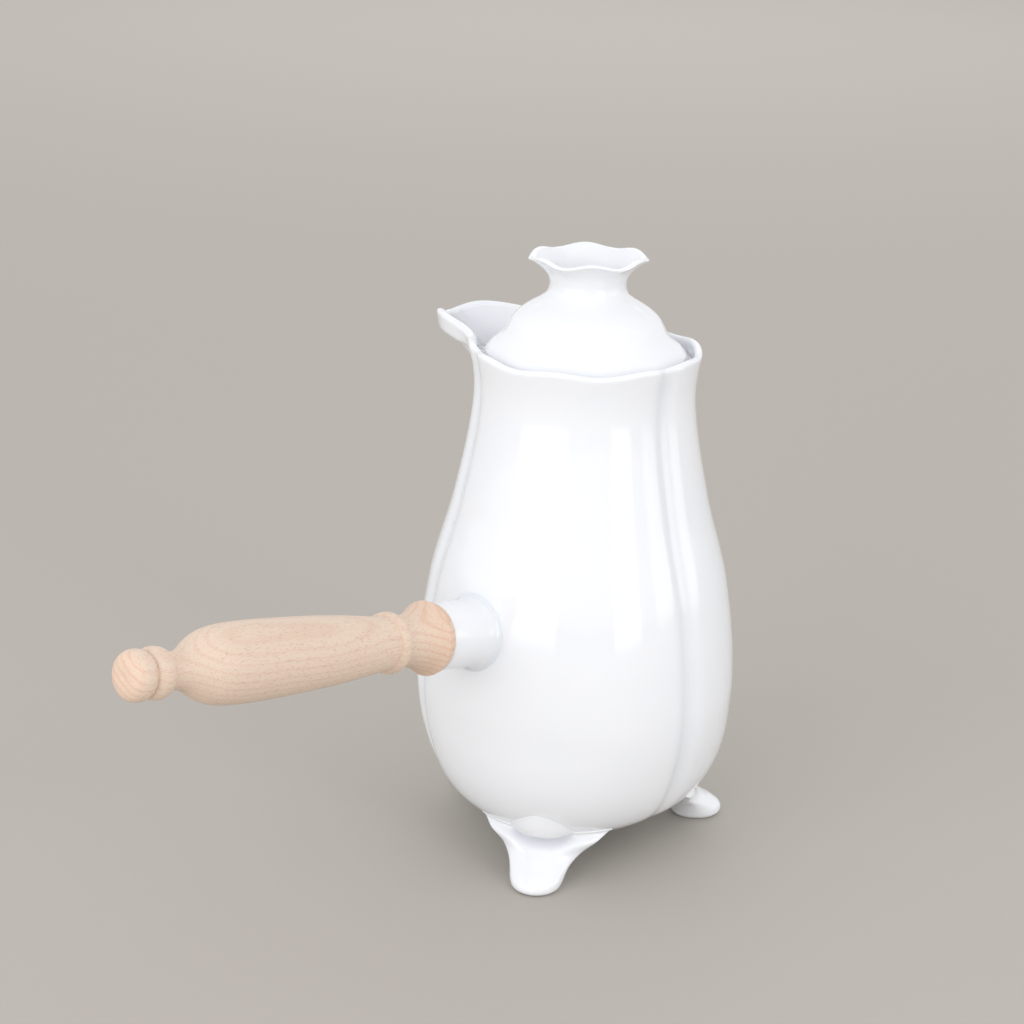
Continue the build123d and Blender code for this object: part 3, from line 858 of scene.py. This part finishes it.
def foot_mesh(foot, body, spout):
    """One foot under the lobe at +X: pad, toe, ankle and the apron that spreads from it."""
    table = hermite(np.array(FOOT) * MM, 10)
    run = np.linspace(0, 1, len(table))
    level, front, widest, back, width = (
        np.interp(np.linspace(0, 1, foot.rows + 1), run, table[:, i])[:, None]
        for i in range(5)
    )
    side = even_angles(foot.columns)[None, :]
    share = np.abs(np.sin(side))
    cosine = np.abs(np.cos(side))
    on_front = np.cos(side) >= 0
    across = width * np.sin(side)
    raised = smooth_step(DIPS_FROM, foot.crest, level)
    height = level - raised * (foot.crest - crest_level(across, foot)) * on_front
    # a round leg low down, and higher up a sheet bent round the body with rolled sides
    leg = widest + (front - widest) * cosine
    roll = foot.roll * (1 - ROLL_LOST * smooth_step(APRON, foot.crest, level))
    bow = np.sqrt(widest ** 2 + width ** 2)
    sheet = (
        np.sqrt(bow ** 2 - across ** 2) + (front - bow) * cosine ** SHEET_BEND
        - roll * (1 - np.sqrt(np.maximum(1 - share ** SIDE_ROUND, 0)))
    )
    spread = smooth_step(*SPREAD, level)
    outer = leg * (1 - spread) + sheet * spread
    laid = smooth_step(LAYS_FROM, foot.crest, level) ** LAYS
    proud = foot.proud * (SIDE_PROUD + (1 - SIDE_PROUD) * cosine)
    on_skin = skin_plane(across, height, body, spout) + proud
    outer = np.maximum(outer * (1 - laid) + on_skin * laid, on_skin * (level > APRON))
    behind = skin_plane(width, level, body, spout) + BACK_PROUD * foot.proud
    start = (widest - roll * spread) * (1 - laid) + laid * behind
    inner = start - (start - np.minimum(back, start)) * cosine
    x = np.where(on_front, outer, inner)
    rings = np.stack([x, across + 0 * x, height + 0 * x], axis=-1)
    # the apron's border rolls over and dies into the skin
    top = rings[-1]
    radial = top * np.array([1, 1, 0])
    radial /= np.linalg.norm(radial, axis=1)[:, None]
    fade = np.where(on_front, np.clip(1.5 * cosine, LEAST_BORDER, 1), LEAST_BORDER)
    border = fade[0][:, None] * foot.border
    rolled = [
        top - radial * border * BORDER_DEPTH * over + np.array([0, 0, 1]) * border * up
        for up, over in quarter(6)[1:]
    ]
    rolled.append(rolled[-1] - radial * BORDER_SUNK)
    return closed_skin(np.vstack([rings, np.array(rolled)]), (foot.centre, 0, 0),
                       rolled[-1].mean(axis=0))


# the bead: columns, rows, share of its length where it stops, height of its lower edge
# in shares of the border, and the way it swells: outwards and a little down
BEAD_COLUMNS, BEAD_ROWS, BEAD_ENDS, BEAD_LOW = 61, 19, 0.99, 0.8
BEAD_LEAN = np.array([0.8, 0.0, -0.6])


def bead_mesh(foot, body, spout):
    """Almond bead on the skin over the foot: soft above, with a crisp groove below."""
    rings = []
    up = np.linspace(0, 1, BEAD_ROWS)
    # fullest low down: the factor brings the highest value of this curve to about 1
    full = 3.3 * up ** 0.6 * (1 - up) ** 1.3
    for u in np.linspace(-BEAD_ENDS, BEAD_ENDS, BEAD_COLUMNS):
        across = np.full_like(up, foot.bead_length * u)
        low = crest_level(across, foot) + foot.border * BEAD_LOW
        height = low + foot.bead_height * (1 - u * u) ** 0.9 * up
        swell = full * (1 - abs(u) ** 2.4) * foot.bead_proud - 0.12 * MM * up ** 4
        front = skin_plane(across, height, body, spout)
        outer = np.stack([front, across, height], axis=-1)
        inner = outer + np.array([-1.5, 0.0, 0.5]) * MM
        rings.append(np.vstack([outer + BEAD_LEAN * swell[:, None], inner[::-1]]))
    total, columns = len(rings), len(rings[0])
    points = np.vstack(rings)
    faces = grid_faces(total, columns)
    faces.append(tuple(range(columns))[::-1])
    faces.append(tuple(range(len(points) - columns, len(points))))
    return points, outward(points, faces)


def repeat_tree():
    """Geometry nodes that set copies of an object evenly round the Z axis."""
    tree = bpy.data.node_groups.new("Copies round the axis", "GeometryNodeTree")
    for name, kind in (("Piece", "NodeSocketObject"), ("Copies", "NodeSocketInt"),
                       ("Material", "NodeSocketMaterial")):
        tree.interface.new_socket(name=name, in_out="INPUT", socket_type=kind)
    tree.interface.new_socket(
        name="Geometry", in_out="OUTPUT", socket_type="NodeSocketGeometry"
    )
    given = add_node(tree, "NodeGroupInput").outputs
    piece = add_node(tree, "GeometryNodeObjectInfo", {"Object": given["Piece"]})
    points = add_node(tree, "GeometryNodePoints", {"Count": given["Copies"]})
    index = add_node(tree, "GeometryNodeInputIndex").outputs["Index"]
    step = calculate(tree, "DIVIDE", 2 * math.pi, given["Copies"])
    turned = calculate(tree, "MULTIPLY", index, step)
    angles = add_node(tree, "ShaderNodeCombineXYZ", {"Z": turned}).outputs[0]
    rotation = add_node(tree, "FunctionNodeEulerToRotation", {0: angles}).outputs[0]
    copies = add_node(
        tree, "GeometryNodeInstanceOnPoints",
        {"Points": points.outputs[0], "Instance": piece.outputs["Geometry"],
         "Rotation": rotation},
    ).outputs[0]
    real = add_node(tree, "GeometryNodeRealizeInstances", {0: copies}).outputs[0]
    painted = add_node(
        tree, "GeometryNodeSetMaterial", {"Geometry": real, "Material": given["Material"]}
    ).outputs[0]
    add_node(tree, "NodeGroupOutput", {"Geometry": painted})
    return tree


def run_nodes(made, tree, values):
    """Sets the tree's inputs, takes its result as a plain mesh and drops the modifier."""
    modifier = made.modifiers.new(tree.name, "NODES")
    modifier.node_group = tree
    for item in tree.interface.items_tree:
        if item.in_out == "INPUT":
            modifier[item.identifier] = values[item.name]
    made.update_tag()
    ready = made.evaluated_get(bpy.context.evaluated_depsgraph_get())
    mesh = bpy.data.meshes.new_from_object(ready)
    made.modifiers.clear()
    made.data = mesh


class POT_OT_feet(bpy.types.Operator):
    """Build one foot with its apron and bead, and repeat it under every lobe"""

    bl_idname = "pot.feet"
    bl_label = "Feet"

    def execute(self, context):
        foot = context.scene.pot_foot
        body = context.scene.pot_body
        spout = context.scene.pot_spout
        points, faces = add_meshes(
            [foot_mesh(foot, body, spout), bead_mesh(foot, body, spout)]
        )
        points = points @ np.array(Matrix.Rotation(foot.turned, 3, "Z")).T
        one = make_object("one_foot", points, faces, {"pool": np.zeros(len(points))})
        made = bpy.data.objects.new("porcelain_feet", bpy.data.meshes.new("porcelain_feet"))
        context.scene.collection.objects.link(made)
        run_nodes(made, repeat_tree(), {
            "Piece": one, "Copies": body.lobe_count,
            "Material": shared_material("porcelain"),
        })
        bpy.data.objects.remove(one)
        finish_piece(
            made, "pot", ["foot_under_spout", "foot_under_handle", "foot_opposite_handle"],
            "porcelain",
        )
        return {"FINISHED"}


def handle_frame(handle):
    """Direction of the handle's axis and two directions square to it."""
    along = np.array([
        math.cos(handle.tilt) * math.cos(handle.angle),
        math.cos(handle.tilt) * math.sin(handle.angle), math.sin(handle.tilt),
    ])
    level = np.array([-math.sin(handle.angle), math.cos(handle.angle), 0.0])
    return along, level, np.cross(along, level)


def socket_mouth(handle, body):
    """Distance of the socket's mouth from the pot's axis, along the handle."""
    return float(skin_radius(handle.height, body)) + handle.socket_stand


def round_handle(handle, distance, radius, around):
    """Points at distances along the handle's axis and radii from it."""
    along, level, up = handle_frame(handle)
    distance, radius, around = np.broadcast_arrays(distance, radius, around)
    return (
        np.array([0, 0, handle.height]) + distance[..., None] * along
        + radius[..., None] * (np.cos(around)[..., None] * level
                               + np.sin(around)[..., None] * up)
    )


def skin_along(handle, body, spout, radius, around):
    """How far along the handle's axis the skin lies, at a radius from that axis."""
    # the span from inside the body to outside it is halved until nothing is left of it
    low = np.full(np.broadcast(radius, around).shape, 30 * MM)
    high = low + 60 * MM
    for _ in range(40):
        middle = (low + high) / 2
        point = round_handle(handle, middle, radius, around)
        reach = np.hypot(point[..., 0], point[..., 1])
        angle = np.arctan2(point[..., 1], point[..., 0])
        out = reach > skin_reach(angle, point[..., 2], body, spout)
        high = np.where(out, middle, high)
        low = np.where(out, low, middle)
    return (low + high) / 2


# rounding of the socket's mouth, where its plain part starts, and how far its foot
# reaches under the skin
SOCKET_EDGE, SOCKET_MIDDLE, SOCKET_SUNK = 0.7 * MM, 1.5 * MM, 0.8 * MM
# the socket's flare: distance from the skin where it starts, how gently it starts, how
# steeply it ends, and how far its hollow is filled
FLARE_START, FLARE_EASE, FLARE_END, FLARE_SWELL = 9.5 * MM, 4.6 * MM, 0.9 * MM, 0.5 * MM


def socket_rows(handle, body, spout):
    """Rings from the bottom of the tenon's hole over the mouth and down to the skin."""
    around = even_angles(handle.columns)
    radius, foot = handle.socket_radius, handle.socket_foot
    foot_at = skin_along(handle, body, spout, foot, around)
    mouth = socket_mouth(handle, body)
    neck = foot_at + FLARE_START
    edge = SOCKET_EDGE
    rows = [(mouth + inner, handle.socket_bore)
            for inner in (-handle.socket_depth, -handle.socket_depth / 2, -edge)]
    rows += [(mouth - edge * (1 - u) ** 2, handle.socket_bore + edge * u ** 2)
             for u in (0.3, 0.7, 1.0)]
    rows += [(mouth - edge * u ** 2, radius - edge * (1 - u) ** 2)
             for u in (0.0, 0.3, 0.6, 1.0)]
    middle = mouth - SOCKET_MIDDLE
    rows += [(middle + (neck - middle) * u / 8, radius) for u in range(1, 8)]
    for v in np.arange(25) / 24:
        along = bezier((neck, neck - FLARE_EASE, foot_at + FLARE_END, foot_at), v)
        rows.append((along, bezier((radius, radius, radius + FLARE_SWELL, foot), v)))
    rows.append((foot_at - SOCKET_SUNK, foot))
    return np.array([round_handle(handle, *row, around) for row in rows])


class POT_OT_socket(bpy.types.Operator):
    """Build the flared porcelain socket on the body, and finish the bedding cement"""

    bl_idname = "pot.socket"
    bl_label = "Socket"

    def execute(self, context):
        handle = context.scene.pot_handle
        body = context.scene.pot_body
        rows = socket_rows(handle, body, context.scene.pot_spout)
        bottom = socket_mouth(handle, body) - handle.socket_depth
        points, faces = closed_skin(
            rows, round_handle(handle, bottom, 0.0, 0.0), rows[-1].mean(axis=0)
        )
        # painted shade, with the tint of pooled glaze, on the socket's foot where it meets
        # the skin
        pool = np.zeros(len(points))
        pool[(len(rows) - 9) * handle.columns:] = FOOT_GLAZE_AND_SHADE
        made = make_object("porcelain_socket", points, faces, {"pool": pool})
        finish_piece(made, "pot", ["handle_socket"], "porcelain")
        cement = frame["nodes"]["handle_cement"]
        set_material(cement, "cement")
        return {"FINISHED"}


# outlines of the turned handle, from the socket's mouth: distance and radius
COLLAR = [(0.8, 13.35), (2.3, 13.75), (3.8, 14.1)]
COVE = [(3.8, 14.1), (5.1, 13.1), (7.0, 12.05), (9.2, 11.1), (11.7, 10.3), (14.5, 9.65),
        (17.5, 9.3), (19.8, 9.25)]
RING = [(19.8, 9.25), (20.3, 10.3), (21.0, 11.0), (22.3, 11.45), (23.8, 11.35),
        (25.0, 10.95), (25.3, 10.1)]
GRIP = [(25.3, 10.1), (30.2, 10.35), (36.7, 11.1), (44.2, 11.9), (52.7, 12.65),
        (61.7, 13.2), (76.7, 13.85), (92.7, 14.22), (100.0, 14.05), (105.0, 13.6),
        (109.0, 12.75), (114.5, 10.2), (117.5, 8.25), (120.2, 6.95), (123.4, 6.5),
        (125.7, 6.75)]
BAND = [(125.7, 6.75), (126.9, 7.8), (128.6, 8.7), (130.6, 9.05), (132.4, 8.8),
        (133.7, 8.0), (134.3, 7.1)]
KNOB = [(134.3, 7.1), (135.1, 7.95), (136.5, 8.6), (138.4, 8.85), (140.3, 8.5),
        (141.9, 7.5), (142.9, 5.9), (143.4, 3.8)]
OUTLINES = (COLLAR, COVE, RING, GRIP, BAND, KNOB)
SHOULDER = [(0.0, 12.9), (0.4, 13.1), (0.8, 13.35)]  # from the mouth to the collar
# depth of the lathe's mark, and the end grain on the collar and on the knob's face with
# the distances over which it changes
MARK_DEEP = 0.7 * MM
COLLAR_END, KNOB_END = (0.45, 3 * MM, 19 * MM), (0.35, 139 * MM, 143 * MM)


class POT_OT_handle(bpy.types.Operator):
    """Turn the beech handle with its collar, ring, grip, band and knob"""

    bl_idname = "pot.handle"
    bl_label = "Handle"

    def execute(self, context):
        handle = context.scene.pot_handle
        mouth = socket_mouth(handle, context.scene.pot_body)
        tenon, mark = handle.tenon_radius, handle.centre_mark
        inside = -handle.tenon_length
        straight = [
            [(inside, 0.0), (inside, tenon * 0.5), (inside, tenon)],
            [(inside, tenon), (-8 * MM, tenon), (0.0, tenon)],
            [(0.0, tenon), (0.0, 10.6 * MM), (0.0, SHOULDER[0][1] * MM)],
        ]
        curves = [np.array(line) for line in straight] + [np.array(SHOULDER) * MM]
        curves += [hermite(np.array(part) * MM, 6) for part in OUTLINES]
        end = curves[-1][-1, 0]
        rim = [(end, mark * 1.4), (end - 0.05 * MM, mark)]
        line = np.vstack([soften(curves, handle.corner)[1:], rim])
        rows = round_handle(
            handle, mouth + line[:, :1], line[:, 1:], even_angles(handle.columns)[None, :]
        )
        points, faces = closed_skin(
            rows, round_handle(handle, mouth + inside, 0.0, 0.0),
            round_handle(handle, mouth + end - MARK_DEEP, 0.0, 0.0),
        )
        from_axis = points - np.array([0, 0, handle.height])
        lathe = np.stack([from_axis @ axis for axis in handle_frame(handle)], axis=-1)
        run = np.concatenate([np.repeat(line[:, 0], handle.columns), [inside, end]])
        collar, *fades = COLLAR_END
        knob, *starts = KNOB_END
        end_grain = (
            collar * (1 - smooth_step(*fades, run)) + knob * smooth_step(*starts, run)
        )
        made = make_object(
            "beech_handle", points, faces, {"lathe": lathe, "end_grain": end_grain}
        )
        finish_piece(made, "pot", ["handle"], "beech")
        return {"FINISHED"}


# outer outline of the lid from its edge up to the waist: radius and height
LID_SKIN = [(39.0, 200.9), (38.75, 201.9), (37.9, 202.9), (36.5, 204.4), (34.3, 206.2),
            (32.8, 207.6), (31.3, 209.6), (29.9, 212.2), (28.2, 215.0), (25.2, 217.8),
            (21.9, 220.0), (18.2, 222.3), (15.9, 224.3), (14.9, 226.5), (14.65, 228.8)]


# the finial's flare: share that grows evenly, how late the rest spreads, where the
# rounding of its edge starts, and its rows
FLARE_EVEN, FLARE_CURVE, FLARE_TOP = 0.1, 2.1, 0.985
FLARE_SHARES = np.linspace(0, 1, 27)[1:]
# roundings: the lid's edge, the hole's upper edge (across and down) and lower edge, the
# collar's end and its root
LID_EDGE, HOLE_TOP, HOLE_EASE, HOLE_FOOT = 1.2 * MM, 2.2 * MM, 1.2 * MM, 0.6 * MM
COLLAR_TIP, COLLAR_ROOT = 0.9 * MM, 0.5 * MM


def flare_at(lid, waist, around, share, inset):
    """Radius and height on the finial from the waist to the edge, moved inwards."""
    phase = lid.flare_waves * (around - lid.flare_turn)
    # pointed corners at the low places between the crests, less about their mean
    corner = (1 - np.abs(np.cos(phase / 2))) ** 1.3 - 0.33
    growth, rise = lid.flare_radius - waist[0], lid.flare_height - waist[1]
    late = 1 - FLARE_EVEN
    radius = waist[0] + growth * (FLARE_EVEN * share + late * share ** FLARE_CURVE)
    lean = growth / rise * (
        FLARE_EVEN + late * FLARE_CURVE * share ** (FLARE_CURVE - 1)
    )
    radius = radius - inset * math.hypot(1, lean)
    spread = share ** 1.6
    return (radius + lid.flare_corner * corner * spread,
            waist[1] + rise * share + lid.flare_wave * np.cos(phase) * spread ** 1.2)


def lid_outside(lid, skin, around):
    """Radii and heights up the lid's edge, dome, waist and flare, over its wavy edge."""
    rows = [(skin[0, 0] - LID_EDGE * (1 - out), lid.base + LID_EDGE * up)
            for out, up in quarter(5)]
    rows += list(skin[1:])
    for share in FLARE_SHARES:
        rows.append(flare_at(lid, skin[-1], around, share * FLARE_TOP, 0.0))
    outer, inner = (
        np.array(flare_at(lid, skin[-1], around, FLARE_TOP, inset))
        for inset in (0.0, lid.lip)
    )
    middle, half = (outer + inner) / 2, (outer - inner) / 2
    top = lid.lip * 0.42
    for angle in np.linspace(0, math.pi, 9)[1:-1]:
        across, up = math.cos(angle), top * math.sin(angle)
        rows.append((middle[0] + half[0] * across + 0.25 * up,
                     middle[1] + half[1] * across + up))
    return rows


def lid_inside(lid, skin, around):
    """Radii and heights down the finial and its hole, under the dome and to the edge."""
    rows = [
        flare_at(lid, skin[-1], around, share * FLARE_TOP, lid.lip + 0.6 * MM * (1 - share))
        for share in FLARE_SHARES[::-1] if share >= 0.2
    ]
    # from there a round hollow that turns in to the hole for the stirring stick
    start = np.array([np.mean(values) for values in rows[-1]])
    turn_in = np.array([lid.bore + HOLE_TOP, lid.cup_floor])
    via = np.array([start[0] - 1.6 * MM, lid.cup_floor + 0.1 * MM])
    rows += [bezier((start, via, turn_in), u) for u in np.linspace(0, 1, 9)[1:]]
    rows += [(lid.bore + HOLE_TOP * (1 - out), lid.cup_floor - HOLE_EASE * down)
             for out, down in quarter(6)[1:]]
    crown = lid.cup_floor - lid.cup_web
    rows.append((lid.bore, crown + HOLE_FOOT))
    rows += [(lid.bore + HOLE_FOOT * out, crown + HOLE_FOOT * (1 - down))
             for down, out in quarter(4)[1:]]
    # the dome's underside, as far as it shows between the hole and the collar
    slopes = np.gradient(skin, axis=0)
    slopes /= np.linalg.norm(slopes, axis=1)[:, None]
    under = skin + np.stack([-slopes[:, 1], slopes[:, 0]], axis=-1) * lid.wall
    hollow, root = lid.collar_radius - lid.collar_wall, lid.collar_radius
    rows += [(radius, height) for radius, height in under[::-1]
             if height < crown - 0.4 * MM
             and lid.bore + 1.5 * MM < radius < hollow - 0.4 * MM]
    # the collar, down inside, round its end and up to the edge
    tip = lid.base - lid.collar_drop + COLLAR_TIP
    rows += [(hollow, lid.base + 1.0 * MM), (hollow, tip)]
    centre, rounding = (hollow + root) / 2, lid.collar_wall / 2
    rows += [(centre - rounding * math.cos(u), tip - COLLAR_TIP * math.sin(u))
             for u in np.linspace(0, math.pi, 9)]
    rows += [(root + COLLAR_ROOT * u * u, lid.base - COLLAR_ROOT * (1 - u) ** 2)
             for u in np.linspace(0, 1, 4)]
    return rows


class POT_OT_lid(bpy.types.Operator):
    """Build the loose lid with its collar, dome, waist and six-waved open finial"""

    bl_idname = "pot.lid"
    bl_label = "Lid"

    def execute(self, context):
        lid = context.scene.pot_lid
        around = even_angles(lid.columns)
        skin = hermite(np.array(LID_SKIN) * MM, 5)
        rows = lid_outside(lid, skin, around) + lid_inside(lid, skin, around)
        points = np.vstack([polar(around, radius, height) for radius, height in rows])
        faces = outward(points, grid_faces(len(rows), lid.columns, True))
        made = make_object("porcelain_lid", points, faces, {"pool": np.zeros(len(points))})
        finish_piece(made, "lid", ["lid"], "porcelain")
        return {"FINISHED"}


# the camera: its angle round the pot, place, yaw, pitch and roll, and its film's side in
# millimetres
PHOTO_TURN = math.radians(134.3)
CAMERA_PLACE = (-0.5758, 0.5901, 0.4171)
CAMERA_YAW, CAMERA_PITCH, CAMERA_ROLL = (math.radians(a) for a in (1.85, 18.87, 1.47))
SENSOR = 36.0

# each light's angle to the right of the camera, distance from the pot's axis, height,
# width and tallness, whether it points down, and the setting that holds its power
LIGHTS = {
    "window_left": (-39, 1.3, 0.5, 1.21, 1.0, False, "window_power"),
    "window_right": (40, 1.3, 0.5, 0.44, 1.0, False, "strip_power"),
    "floor_wash": (180, 2.9, 1.6, 2.2, 2.2, True, "wash_power"),
    "fill_right": (82, 1.3, 0.25, 0.9, 0.6, False, "fill_power"),
}


def add_light(name, power, azimuth, distance, middle, width, height, down):
    """Soft area light that faces the pot upright, or points down at the floor."""
    light = bpy.data.lights.new(name, "AREA")
    light.shape, light.size, light.size_y = "RECTANGLE", width, height
    light.energy = power
    lamp = bpy.data.objects.new(name, light)
    bpy.context.scene.collection.objects.link(lamp)
    turned = PHOTO_TURN + math.radians(azimuth)
    facing = Vector((math.cos(turned), math.sin(turned), 0))
    lamp.location = facing * distance + Vector((0, 0, middle))
    lamp.rotation_mode = "QUATERNION"
    if not down:
        lamp.rotation_quaternion = facing.to_track_quat("Z", "Y")


def camera_axes():
    """Directions to the right of the picture, up in it and back to the viewer."""
    side = Vector((-math.sin(PHOTO_TURN), math.cos(PHOTO_TURN), 0))
    away = Vector((-math.cos(PHOTO_TURN), -math.sin(PHOTO_TURN), 0))
    level = math.cos(CAMERA_PITCH)
    ahead = (side * (-math.sin(CAMERA_YAW) * level) + away * (math.cos(CAMERA_YAW) * level)
             + Vector((0, 0, -math.sin(CAMERA_PITCH))))
    right = side * math.cos(CAMERA_YAW) + away * math.sin(CAMERA_YAW)
    up = right.cross(ahead)
    return (right * math.cos(CAMERA_ROLL) + up * math.sin(CAMERA_ROLL),
            up * math.cos(CAMERA_ROLL) - right * math.sin(CAMERA_ROLL), -ahead)


class POT_OT_stage(bpy.types.Operator):
    """Lay a plain floor, set soft lights and place the camera as in the photograph"""

    bl_idname = "pot.stage"
    bl_label = "Stage"

    def execute(self, context):
        scene = context.scene
        stage = scene.pot_stage
        half = stage.floor_size / 2
        corners = np.array([(-half, -half, 0), (half, -half, 0), (half, half, 0),
                            (-half, half, 0)], float)
        floor = make_object("floor", corners, [(0, 1, 2, 3)])
        set_material(floor, "paper")
        world = bpy.data.worlds.new("Even light")
        world.use_nodes = True
        sky = world.node_tree.nodes["Background"]
        sky.inputs["Color"].default_value = colour("FBFBFC")
        sky.inputs["Strength"].default_value = stage.sky
        scene.world = world
        for name, (*shape, power) in LIGHTS.items():
            add_light(name, getattr(stage, power), *shape)
        scene.view_settings.view_transform = "Standard"
        data = bpy.data.cameras.new("camera")
        data.sensor_width = data.sensor_height = SENSOR
        data.lens = stage.lens
        camera = bpy.data.objects.new("camera", data)
        scene.collection.objects.link(camera)
        across = [(*row, place) for row, place in zip(zip(*camera_axes()), CAMERA_PLACE)]
        camera.matrix_world = Matrix(across + [(0, 0, 0, 1)])
        scene.camera = camera
        return {"FINISHED"}


OPERATORS = (POT_OT_body, POT_OT_feet, POT_OT_socket, POT_OT_handle, POT_OT_lid,
             POT_OT_stage)


class POT_PT_panel(bpy.types.Panel):
    """Settings and build buttons of the chocolate pot"""

    bl_idname = "POT_PT_panel"
    bl_label = "Chocolate pot"
    bl_space_type = "VIEW_3D"
    bl_region_type = "UI"
    bl_category = "Chocolate pot"

    def draw(self, context):
        layout = self.layout
        for operator in OPERATORS:
            layout.operator(operator.bl_idname)
        for key in SETTINGS:
            group = getattr(context.scene, key)
            box = layout.box()
            box.label(text=group.__doc__)
            for name in group.bl_rna.properties.keys():
                if name not in ("rna_type", "name"):
                    box.prop(group, name)


def register():
    for key, group in SETTINGS.items():
        bpy.utils.register_class(group)
        setattr(bpy.types.Scene, key, PointerProperty(type=group))
    for item in (*OPERATORS, POT_PT_panel):
        bpy.utils.register_class(item)


def unregister():
    for item in (POT_PT_panel, *reversed(OPERATORS)):
        bpy.utils.unregister_class(item)
    for key, group in SETTINGS.items():
        delattr(bpy.types.Scene, key)
        bpy.utils.unregister_class(group)


def main():
    """Builds every piece and the stage."""
    for obj in list(bpy.data.objects):
        if obj.type in {"CAMERA", "LIGHT"} or obj.name == "Cube":
            bpy.data.objects.remove(obj)
    register()
    bpy.ops.pot.body()
    bpy.ops.pot.feet()
    bpy.ops.pot.socket()
    bpy.ops.pot.handle()
    bpy.ops.pot.lid()
    bpy.ops.pot.stage()


if __name__ == "__main__":
    main()
